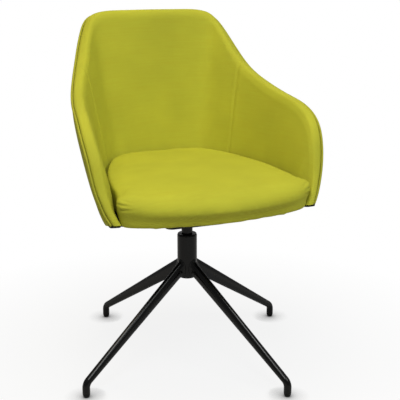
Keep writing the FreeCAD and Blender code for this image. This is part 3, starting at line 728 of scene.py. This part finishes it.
run = FOOT_CIRCLE - KNEE_RADIUS - HUB_RADIUS
drop = LEG_ROOT_Z - KNEE_Z
slope = math.atan2(drop, run) - math.asin(KNEE_RADIUS / math.hypot(run, drop))
leg_along = np.array([math.cos(slope), 0, -math.sin(slope)])
leg_across = np.array([math.sin(slope), 0, math.cos(slope)])
leg_side = np.array([0, 1, 0])
leg_root = np.array([HUB_RADIUS, 0, LEG_ROOT_Z]) - leg_along * HUB_RADIUS
knee_start = np.array([FOOT_CIRCLE - KNEE_RADIUS, 0, KNEE_Z]) + leg_across * KNEE_RADIUS
leg_run = np.linalg.norm(knee_start - leg_root)


def leg_surface(angle, way):
    """Point of the tapered leg at an angle round its oval and a distance along it from its root."""
    height = LEG_ROOT_HEIGHT + (LEG_FOOT_DEPTH - LEG_ROOT_HEIGHT) * way / leg_run
    up = (height / 2 * np.cos(angle))[:, None] * leg_across
    side = (LEG_WIDTH / 2 * np.sin(angle))[:, None] * leg_side
    return leg_root + way[:, None] * leg_along + up + side


print("a leg slopes by", round(math.degrees(slope), 1), "degrees")

# %% Welds between legs and hub
WELD_REACH = 4.5 * MM
WELD_WEB = 9 * MM
WELD_RIPPLE = 0.05
WELD_RIPPLES = 18
WELD_ON_HUB = 0.4
WELD_LIFT = 0.15 * MM
WELD_SINK = 1 * MM
HUB_LOW = 213.6 * MM
WELD_COLUMNS = 96
WELD_ROWS = 9


def weld_loops():
    """Loops of the weld: from the leg's skin over a hollow curve to the hub's skin, and back inside."""
    angle = np.linspace(0, 2 * np.pi, WELD_COLUMNS, endpoint=False)
    start = leg_surface(angle, np.zeros(WELD_COLUMNS))
    end = leg_surface(angle, np.full(WELD_COLUMNS, leg_run))
    stretch = np.sqrt(HUB_RADIUS**2 - start[:, 1] ** 2)
    way = (stretch - start[:, 0]) / (end[:, 0] - start[:, 0]) * leg_run
    meet = leg_surface(angle, way)
    ripple = 1 + WELD_RIPPLE * np.sin(WELD_RIPPLES * angle)
    reach = (WELD_REACH + WELD_WEB * np.sin(angle) ** 2) * ripple
    on_leg = leg_surface(angle, way + reach)
    out = leg_across * np.cos(angle)[:, None] + leg_side * np.sin(angle)[:, None]
    hub_reach = WELD_ON_HUB * reach + (1 - WELD_ON_HUB) * WELD_REACH
    on_hub = meet + unit(out * np.array([0, 1, 1])) * hub_reach[:, None]
    on_hub[:, :2] = unit(on_hub[:, :2]) * HUB_RADIUS
    on_hub[:, 2] = np.maximum(on_hub[:, 2], HUB_LOW)
    part = np.linspace(0, 1, WELD_ROWS)[:, None, None]
    hollow = (1 - part) ** 2 * on_leg + 2 * part * (1 - part) * meet + part**2 * on_hub
    inside = meet - unit(meet * np.array([1, 1, 0])) * WELD_SINK
    return np.concatenate([hollow + WELD_LIFT * unit(out), inside[None]]).transpose(1, 0, 2)


def turned(points, angle):
    """Points turned about the swivel axis."""
    cosine = math.cos(angle)
    sine = math.sin(angle)
    return points @ np.array([(cosine, sine, 0), (-sine, cosine, 0), (0, 0, 1)])


def ring_of_loops(name, points):
    """Closed loops carried round a closed path, so that the last loop joins the first."""
    rows, columns = points.shape[:2]
    quads = np.array(grid_quads(rows + 1, columns)) % (rows * columns)
    return make_piece(name, points.reshape(-1, 3), quads.tolist())


welds = []
for number in range(LEG_COUNT):
    leg_angle = LEG_TURN + 2 * math.pi * number / LEG_COUNT
    welds.append(ring_of_loops("weld_%d" % (number + 1), turned(weld_loops(), leg_angle)))
print(len(welds), "welds of", len(welds[0].data.polygons), "faces")

# %% [markdown]
# ## Finishes
# Colours are written as they look on a screen, as sRGB hex, and one function turns them to the
# linear values that the shader works in. One small function adds a node with its settings and
# links, so that each finish below reads from top to bottom.

# %% Helpers for finishes
def linear(hex_code):
    """Linear colour of an sRGB hex code."""
    seen = np.array([int(hex_code[start:start + 2], 16) for start in (1, 3, 5)]) / 255
    light = np.where(seen <= 0.04045, seen / 12.92, ((seen + 0.055) / 1.055) ** 2.4)
    return (*light.tolist(), 1.0)


def add(tree, kind, inputs=None, **settings):
    """Adds a node: settings are its properties, inputs are values or other nodes' outputs."""
    node = tree.nodes.new(kind)
    for name, value in settings.items():
        setattr(node, name, value)
    for name, value in (inputs or {}).items():
        if isinstance(value, bpy.types.NodeSocket):
            tree.links.new(value, node.inputs[name])
        else:
            node.inputs[name].default_value = value
    return node


def new_finish(name):
    """An empty material and its node tree."""
    finish = bpy.data.materials.new(name)
    finish.use_nodes = True
    finish.node_tree.nodes.clear()
    return finish, finish.node_tree


# Places of a Mix node's sockets: its share, its two numbers, its two colours and the mixed colour
MIX_SHARE = 0
MIX_LOW = 2
MIX_HIGH = 3
MIX_A = 6
MIX_B = 7
MIX_COLOUR = 2
print("middle grey is", round(linear("#808080")[0], 3), "in linear light")

# %% [markdown]
# ### Woven wool-mix cloth
# A dense plain weave in lime, with a mustard thread in it: matt, soft at its edges, and a little
# streaky where a thread is thicker. Threads of about 0.8 mm are too fine to show from a chair's
# distance, so they are drawn 2.2 mm wide. Warp and weft take turns on top as on a chessboard, and
# each thread is a sine ridge. Slubs are long thin streaks along the threads, and broad patches
# make the whole cloth a little uneven.

# %% Cloth
THREAD = 2.2 * MM
SLUB_LENGTH = 83.3 * MM
SLUB_WIDTH = 3.333 * MM
CLOTH_PATCH = 111.1 * MM
RIDGE_HEIGHT = 0.5 * MM
# At this scale a wave texture has one ridge per unit
WAVE_SCALE = 2 * math.pi / 20


def woven_cloth(name, pale, deep, slub_shade):
    """Plain weave on the cloth's own flat coordinates, with slubs along its threads."""
    finish, tree = new_finish(name)
    flat = add(tree, "ShaderNodeAttribute", attribute_name="cloth").outputs["Vector"]
    thread_scale = (1 / THREAD, 1 / THREAD, 1)
    threads = add(tree, "ShaderNodeMapping", {"Vector": flat, "Scale": thread_scale}).outputs[0]
    over = add(tree, "ShaderNodeTexChecker", {"Vector": threads, "Scale": 1.0}).outputs["Fac"]
    wave = {"Vector": threads, "Scale": WAVE_SCALE}
    warp = add(tree, "ShaderNodeTexWave", wave, bands_direction="X").outputs["Fac"]
    weft = add(tree, "ShaderNodeTexWave", wave, bands_direction="Y").outputs["Fac"]
    ridge = add(tree, "ShaderNodeMix", {MIX_SHARE: over, MIX_LOW: warp, MIX_HIGH: weft}).outputs[0]

    slub_scale = (1 / SLUB_LENGTH, 1 / SLUB_WIDTH, 1)
    long_way = add(tree, "ShaderNodeMapping", {"Vector": flat, "Scale": slub_scale}).outputs[0]
    slub = add(
        tree, "ShaderNodeTexNoise", {"Vector": long_way, "Scale": 1.0, "Detail": 2.0}
    ).outputs["Fac"]
    broad = add(
        tree, "ShaderNodeTexNoise", {"Vector": flat, "Scale": 1 / CLOTH_PATCH, "Detail": 3.0}
    ).outputs["Fac"]
    weave = add(
        tree, "ShaderNodeMix",
        {MIX_SHARE: ridge, MIX_A: linear(deep), MIX_B: linear(pale)}, data_type="RGBA",
    ).outputs[MIX_COLOUR]
    streak = add(
        tree, "ShaderNodeMapRange",
        {"Value": slub, "From Min": 0.35, "From Max": 0.75, "To Max": 0.35},
    ).outputs[0]
    streaked = add(
        tree, "ShaderNodeMix",
        {MIX_SHARE: streak, MIX_A: weave, MIX_B: linear(slub_shade)}, data_type="RGBA",
    ).outputs[MIX_COLOUR]
    tone = add(
        tree, "ShaderNodeMapRange",
        {"Value": broad, "From Min": 0.3, "From Max": 0.7, "To Min": 0.93, "To Max": 1.05},
    ).outputs[0]
    colour = add(tree, "ShaderNodeHueSaturation", {"Color": streaked, "Value": tone}).outputs[0]
    height = add(tree, "ShaderNodeMath", {0: ridge, 1: slub}, operation="ADD").outputs[0]
    bump = add(
        tree, "ShaderNodeBump", {"Height": height, "Strength": 0.25, "Distance": RIDGE_HEIGHT}
    ).outputs["Normal"]
    shader = add(tree, "ShaderNodeBsdfPrincipled", {
        "Base Color": colour,
        "Roughness": 0.85,
        "Specular IOR Level": 0.25,
        "Sheen Weight": 0.15,
        "Sheen Roughness": 0.5,
        "Sheen Tint": linear(pale),
        "Normal": bump,
    })
    add(tree, "ShaderNodeOutputMaterial", {"Surface": shader.outputs[0]})
    return finish


lime_cloth = woven_cloth("lime_woven_cloth", "#BDC03C", "#B0AE2C", "#B2A62A")
# The piping is the same lime cloth, drawn in slightly darker colours: painted shade along the rim's outline.
piping_shade_cloth = woven_cloth("lime_piping_painted_shade", "#AEAF37", "#A1A02B", "#A19429")
for piece in (*pads.values(), *covers.values(), cushion):
    piece.data.materials.append(lime_cloth)
piping.data.materials.append(piping_shade_cloth)
print(lime_cloth.name, len(lime_cloth.node_tree.nodes), "nodes")

# %% [markdown]
# ### Black coat, plastic and steel
# The base is powder-coated: paint melted on as a fine, slightly pebbled skin with a satin shine.
# Glides and bushes are moulded plastic, duller and with a finer grain. Inside, washers and bolts
# are zinc plated, races are bare ground steel, and the board is plywood stained black.

# %% Coated, moulded and metal finishes
SHINE_PATCH = 71.4 * MM
SHINE_SPREAD = 0.06


def grained(name, dark, light, grain, roughness, bump_depth, **shader_values):
    """A skin with a fine grain: noise of one grain size tints and raises it, and patches vary its shine."""
    finish, tree = new_finish(name)
    place = add(tree, "ShaderNodeTexCoord").outputs["Object"]
    speck = add(
        tree, "ShaderNodeTexNoise", {"Vector": place, "Scale": 1 / grain, "Detail": 3.0}
    ).outputs["Fac"]
    broad = add(
        tree, "ShaderNodeTexNoise", {"Vector": place, "Scale": 1 / SHINE_PATCH, "Detail": 2.0}
    ).outputs["Fac"]
    colour = add(
        tree, "ShaderNodeMix",
        {MIX_SHARE: speck, MIX_A: linear(dark), MIX_B: linear(light)}, data_type="RGBA",
    ).outputs[MIX_COLOUR]
    rough = add(
        tree, "ShaderNodeMapRange",
        {"Value": broad, "To Min": roughness - SHINE_SPREAD, "To Max": roughness + SHINE_SPREAD},
    ).outputs[0]
    bump = add(
        tree, "ShaderNodeBump", {"Height": speck, "Strength": 0.3, "Distance": bump_depth}
    ).outputs["Normal"]
    values = {"Base Color": colour, "Roughness": rough, "Normal": bump}
    values.update({key.replace("_", " "): value for key, value in shader_values.items()})
    shader = add(tree, "ShaderNodeBsdfPrincipled", values)
    add(tree, "ShaderNodeOutputMaterial", {"Surface": shader.outputs[0]})
    return finish


# Each finish: name, dark and light colour, grain, roughness, depth of the grain
finishes = {
    "black_coat": grained(
        "powder_coat_black", "#040404", "#0C0C0C", 0.9 * MM, 0.2, 0.01 * MM,
        Specular_IOR_Level=0.26,
    ),
    "black_plastic": grained(
        "moulded_plastic_black", "#0C0C0C", "#141414", 0.6 * MM, 0.48, 0.06 * MM,
        Specular_IOR_Level=0.15,
    ),
    "core_plastic": grained(
        "moulded_core_black", "#0C0C0C", "#131313", 1.2 * MM, 0.55, 0.1 * MM,
        Specular_IOR_Level=0.15,
    ),
    "bare_steel": grained(
        "ground_steel", "#A9A9AB", "#C2C2C4", 0.4 * MM, 0.25, 0.02 * MM, Metallic=1.0
    ),
    "plated_steel": grained(
        "zinc_plated_steel", "#A8ABB0", "#C6C8CA", 1.5 * MM, 0.38, 0.03 * MM, Metallic=1.0
    ),
}
print(len(finishes), "grained finishes")

# %% Stained board, and each finish on its nodes
BOARD_GRAIN_WIDTH = 11.1 * MM
BOARD_GRAIN_LENGTH = 200 * MM
PORE_DEPTH = 0.3 * MM


def plywood(name, dark, light):
    """Stained birch plywood: long grain that still shows, on noise drawn out along the board."""
    finish, tree = new_finish(name)
    place = add(tree, "ShaderNodeTexCoord").outputs["Object"]
    grain_scale = (1 / BOARD_GRAIN_WIDTH, 1 / BOARD_GRAIN_LENGTH, 1 / BOARD_GRAIN_WIDTH)
    drawn = add(tree, "ShaderNodeMapping", {"Vector": place, "Scale": grain_scale}).outputs[0]
    grain = add(
        tree, "ShaderNodeTexNoise", {"Vector": drawn, "Scale": 1.0, "Detail": 5.0}
    ).outputs["Fac"]
    colour = add(
        tree, "ShaderNodeMix",
        {MIX_SHARE: grain, MIX_A: linear(dark), MIX_B: linear(light)}, data_type="RGBA",
    ).outputs[MIX_COLOUR]
    bump = add(
        tree, "ShaderNodeBump", {"Height": grain, "Strength": 0.2, "Distance": PORE_DEPTH}
    ).outputs["Normal"]
    shader = add(
        tree, "ShaderNodeBsdfPrincipled", {"Base Color": colour, "Roughness": 0.62, "Normal": bump}
    )
    add(tree, "ShaderNodeOutputMaterial", {"Surface": shader.outputs[0]})
    return finish


finishes["board_wood"] = plywood("black_stained_plywood", "#1B1714", "#332B24")
slot_of = {entry["node"]: entry["material_slot"] for entry in frame["record"]["subparts"]}
for name, part in frame["nodes"].items():
    if slot_of[name] in finishes:
        for holder in part.material_slots:
            holder.material = finishes[slot_of[name]]
for weld in welds:
    weld.data.materials.append(finishes["black_coat"])
for shoe in shoes:
    shoe.data.materials.append(finishes["core_plastic"])
print(len(finishes), "hard finishes on", sum(slot in finishes for slot in slot_of.values()), "nodes")

# %% [markdown]
# ## What rides where
# Each soft piece stands for the CAD solid of the same place and moves with the seat. The welds move
# with the base.

# %% Tie the pieces to the chair
for place in PANELS:
    for piece, node in ((pads[place], place + "_pad"), (covers[place], place + "_cover")):
        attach(piece, "seat")
        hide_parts(node)
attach(cushion, "seat")
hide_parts("seat_cushion")
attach(piping, "seat")
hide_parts("rim_piping")
for shoe in shoes:
    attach(shoe, "seat")
for weld in welds:
    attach(weld, "base")
print("dressed", 2 * len(PANELS) + 2 + len(shoes) + len(welds), "pieces")

# %% [markdown]
# ## Floor, light and camera
# The chair stands on a white studio sweep. To the camera the floor mostly glows, so it stays white.
# Near the chair a part of it is lit instead, which holds the soft shadow of the seat, and the glow
# is dimmed where something stands close above, which gives each foot its contact shadow. The key
# lamp in front lights the back, and the softbox over the camera lights the seat and draws the
# ridges of the legs. A warm lamp at the left reaches over the near arm to the inside of the far
# one, and one behind the chair lights the outside of its back. Gloss shows the white of the studio
# dimmed, because the room behind a camera is darker than the sweep in front of it.

# %% Floor
FLOOR_HALF = 30.0
GLOSS_SHARE = 0.15
GLOW_NEAR = 0.85
NEAR = 0.25
FAR = 0.85
CONTACT_REACH = 45 * MM
CONTACT_DEPTH = 2.2
WHITE = linear("#FFFFFF")
floor_corners = np.array([(-1, -1, 0), (1, -1, 0), (1, 1, 0), (-1, 1, 0)]) * FLOOR_HALF
floor = make_piece("floor", floor_corners, [[0, 1, 2, 3]])


def seen_ray(tree):
    """1 for a ray from the camera or through glass, a part for one off gloss, and 0 for other light."""
    ray = add(tree, "ShaderNodeLightPath").outputs
    glossy = add(
        tree, "ShaderNodeMath", {0: ray["Is Glossy Ray"], 1: GLOSS_SHARE}, operation="MULTIPLY"
    ).outputs[0]
    clear = add(
        tree, "ShaderNodeMath",
        {0: ray["Is Camera Ray"], 1: ray["Is Transmission Ray"]}, operation="MAXIMUM",
    ).outputs[0]
    return add(tree, "ShaderNodeMath", {0: glossy, 1: clear}, operation="MAXIMUM").outputs[0]


def studio_white(name, lit_shade):
    """White that is partly lit near the chair and only glows further out, dimmed under what is close."""
    finish, tree = new_finish(name)
    place = add(tree, "ShaderNodeTexCoord").outputs["Object"]
    distance = add(tree, "ShaderNodeVectorMath", {0: place}, operation="LENGTH").outputs["Value"]
    near = add(
        tree, "ShaderNodeMapRange",
        {"Value": distance, "From Min": NEAR, "From Max": FAR, "To Min": GLOW_NEAR, "To Max": 1.0},
    ).outputs[0]
    share = add(tree, "ShaderNodeMath", {0: near, 1: seen_ray(tree)}, operation="MULTIPLY").outputs[0]
    lit = add(tree, "ShaderNodeBsdfDiffuse", {"Color": linear(lit_shade)}).outputs[0]
    open_above = add(tree, "ShaderNodeAmbientOcclusion", {"Distance": CONTACT_REACH}).outputs["AO"]
    contact = add(
        tree, "ShaderNodeMath", {0: open_above, 1: CONTACT_DEPTH}, operation="POWER"
    ).outputs[0]
    glow = add(tree, "ShaderNodeEmission", {"Color": WHITE, "Strength": contact}).outputs[0]
    both = add(tree, "ShaderNodeMixShader", {0: share, 1: lit, 2: glow}).outputs[0]
    add(tree, "ShaderNodeOutputMaterial", {"Surface": both})
    return finish


floor.data.materials.append(studio_white("studio_white", "#CACACA"))
print(floor.name, "reaches", FLOOR_HALF, "m each way")

# %% Light
SKY_TOP = 0.21
SKY_SIDE = 0.07
# Name: place in metres, size in metres, power in watts, colour
LAMPS = {
    "softbox": ((-0.57, -1.4, 2.45), 1.0, 27.0, (0.98, 1.0, 0.99)),
    "key": ((0.9, -1.7, 2.1), 1.2, 21.0, (0.96, 1.0, 0.98)),
    "left": ((-0.6, -0.1, 2.5), 1.2, 16.5, (1.0, 0.84, 0.54)),
    "rear": ((0.5, 1.9, 1.3), 1.2, 12.0, (1.0, 1.0, 1.0)),
}
AIM = np.array([0, 0, 0.5])

sky = bpy.data.worlds.new("studio_sky")
sky.use_nodes = True
tree = sky.node_tree
tree.nodes.clear()
way = add(tree, "ShaderNodeTexCoord").outputs["Generated"]
upward = add(tree, "ShaderNodeSeparateXYZ", {"Vector": way}).outputs["Z"]
strength = add(
    tree, "ShaderNodeMapRange", {"Value": upward, "To Min": SKY_SIDE, "To Max": SKY_TOP}
).outputs[0]
plain = add(tree, "ShaderNodeBackground", {"Color": WHITE, "Strength": strength}).outputs[0]
white = add(tree, "ShaderNodeBackground", {"Color": WHITE, "Strength": 1.0}).outputs[0]
both = add(tree, "ShaderNodeMixShader", {0: seen_ray(tree), 1: plain, 2: white}).outputs[0]
add(tree, "ShaderNodeOutputWorld", {"Surface": both})
bpy.context.scene.world = sky

for name, (place, size, power, colour) in LAMPS.items():
    lamp = bpy.data.lights.new(name, "AREA")
    lamp.size = size
    lamp.energy = power
    lamp.color = colour
    holder = bpy.data.objects.new(name, lamp)
    away = np.array(place) - AIM
    tilt = math.acos(away[2] / np.linalg.norm(away))
    holder.location = place
    holder.rotation_euler = (tilt, 0, math.atan2(away[1], away[0]) + math.pi / 2)
    bpy.context.scene.collection.objects.link(holder)
print(len(LAMPS), "lamps")

# %% [markdown]
# The camera stands where the photographer's stood: a little above the seat and to the chair's
# right, with a long lens. Its place was found by matching the feet, the hub and the rim.

# %% Camera
CAMERA_PLACE = (-0.6712, -1.8441, 0.9463)
CAMERA_HEADING = math.radians(20.925)
CAMERA_PITCH = math.radians(15.487)
CAMERA_LENS = 75.575
SENSOR_WIDTH = 36.0
camera_lens = bpy.data.cameras.new("camera")
camera_lens.lens = CAMERA_LENS
camera_lens.sensor_width = SENSOR_WIDTH
camera = bpy.data.objects.new("camera", camera_lens)
camera.location = CAMERA_PLACE
camera.rotation_euler = (math.pi / 2 - CAMERA_PITCH, 0, -CAMERA_HEADING)
bpy.context.scene.collection.objects.link(camera)
bpy.context.scene.camera = camera
bpy.context.scene.view_settings.view_transform = "Standard"
print("camera at", CAMERA_PLACE)
